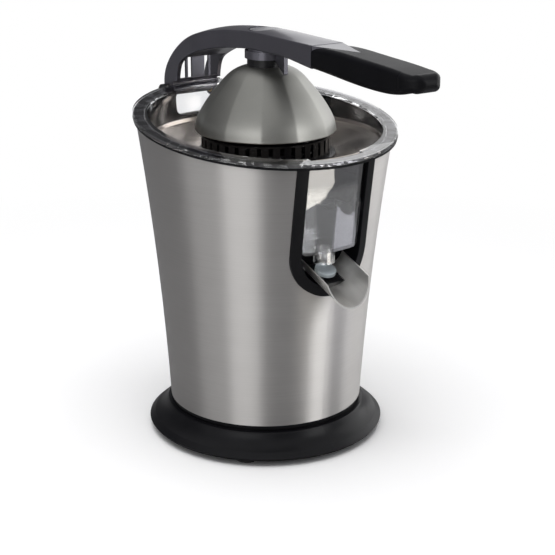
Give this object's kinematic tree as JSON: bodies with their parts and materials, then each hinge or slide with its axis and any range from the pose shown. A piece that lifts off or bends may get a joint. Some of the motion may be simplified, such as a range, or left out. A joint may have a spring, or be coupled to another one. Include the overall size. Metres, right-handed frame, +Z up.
{
  "type": "electric lever citrus juice press",
  "caption": "Countertop lever citrus press: a ribbed dome on a hinged arm pushes fruit onto a motor-driven cone, and juice runs out of a fold-up spout.",
  "frame": {"origin": "middle of the whole's footprint box, on the surface the feet stand on; the body's own upright axis is at x = -0.0373 m", "axes": "+X towards the spout and the free end of the handle, +Y to the left seen from behind the hinge, +Z up"},
  "size_m": [0.3102, 0.205, 0.3221],
  "materials": {
    "black_gloss": "gloss",
    "black_satin": "satin",
    "grip_rubber": "matte",
    "foot_rubber": "matte",
    "body_steel": "brushed",
    "dome_steel": "satin",
    "arm_paint": "satin metallic",
    "clear_plastic": "clear gloss",
    "plain_steel": "plain",
    "bronze": "plain",
    "gear_plastic": "satin",
    "case_plastic": "satin",
    "cone_plastic": "gloss",
    "magnet": "matte"
  },
  "bodies": {
    "body": {"base_ring": "black_gloss", "top_collar": "black_gloss", "front_surround": "black_gloss", "base_plate": "black_satin", "bowl_housing": "black_satin", "strainer_basket": "black_satin", "cable_gland": "black_satin", "hinge_bracket": "black_satin", "rubber_feet": "foot_rubber", "shaft_seal": "foot_rubber", "steel_shell": "body_steel", "sieve": "body_steel", "juice_collector": "clear_plastic", "base_screws": "plain_steel", "bracket_screws": "plain_steel", "gearbox_screws": "plain_steel", "motor_screws": "plain_steel", "hinge_pin": "plain_steel", "trough_pin": "plain_steel", "compound_axle": "plain_steel", "press_spring": "plain_steel", "motor_can": "plain_steel", "motor_end_plate": "plain_steel", "spindle_bushes": "bronze", "gearbox_bridge": "gear_plastic", "gearbox_lid": "gear_plastic", "gearbox_case": "case_plastic", "micro_switch": "case_plastic", "motor_magnets": "magnet"},
    "lever": {"lever_arm": "arm_paint", "arm_cover": "black_satin", "arm_cap": "arm_paint", "grip": "grip_rubber", "hinge_bushes": "bronze", "dome_neck": "black_satin", "press_dome": "dome_steel", "dome_washer": "foot_rubber", "dome_screw": "plain_steel"},
    "press_slide": {"press_plate": "plain_steel", "switch_plunger": "case_plastic"},
    "cone": {"drive_spindle": "plain_steel", "output_wheel": "gear_plastic", "reamer_cone": "cone_plastic"},
    "compound": {"compound_gear": "gear_plastic"},
    "rotor": {"motor_rotor": "magnet"},
    "spout": {"spout_trough": "body_steel", "trough_carrier": "black_satin", "outlet_stopper": "foot_rubber"}
  },
  "joints": [
    {"name": "lever_hinge", "type": "hinge", "parent": "body", "child": "lever", "pos_m": [-0.1473, 0, 0.2575], "axis": [0, -1, 0], "range_deg": [0, 85]},
    {"name": "cone_press", "type": "slide", "parent": "body", "child": "press_slide", "axis": [0, 0, -1], "range_m": [0, 0.0025], "stiffness_N_per_m": 2000, "springref_m": -0.002, "deforming": ["press_spring"]},
    {"name": "cone_spin", "type": "hinge", "parent": "press_slide", "child": "cone", "pos_m": [-0.0373, 0, 0.23], "axis": [0, 0, 1], "continuous": true},
    {"name": "compound_spin", "type": "hinge", "parent": "body", "child": "compound", "pos_m": [-0.0673, 0, 0.134], "axis": [0, 0, 1], "continuous": true},
    {"name": "rotor_spin", "type": "hinge", "parent": "body", "child": "rotor", "pos_m": [-0.0373, 0, 0.09], "axis": [0, 0, 1], "continuous": true},
    {"name": "spout_fold", "type": "hinge", "parent": "body", "child": "spout", "pos_m": [0.0287, 0, 0.147], "axis": [0, -1, 0], "range_deg": [0, 19]}
  ],
  "couplings": [
    {"joint": "compound_spin", "follows": "rotor_spin", "ratio": -0.33333},
    {"joint": "cone_spin", "follows": "rotor_spin", "ratio": 0.11111}
  ]
}
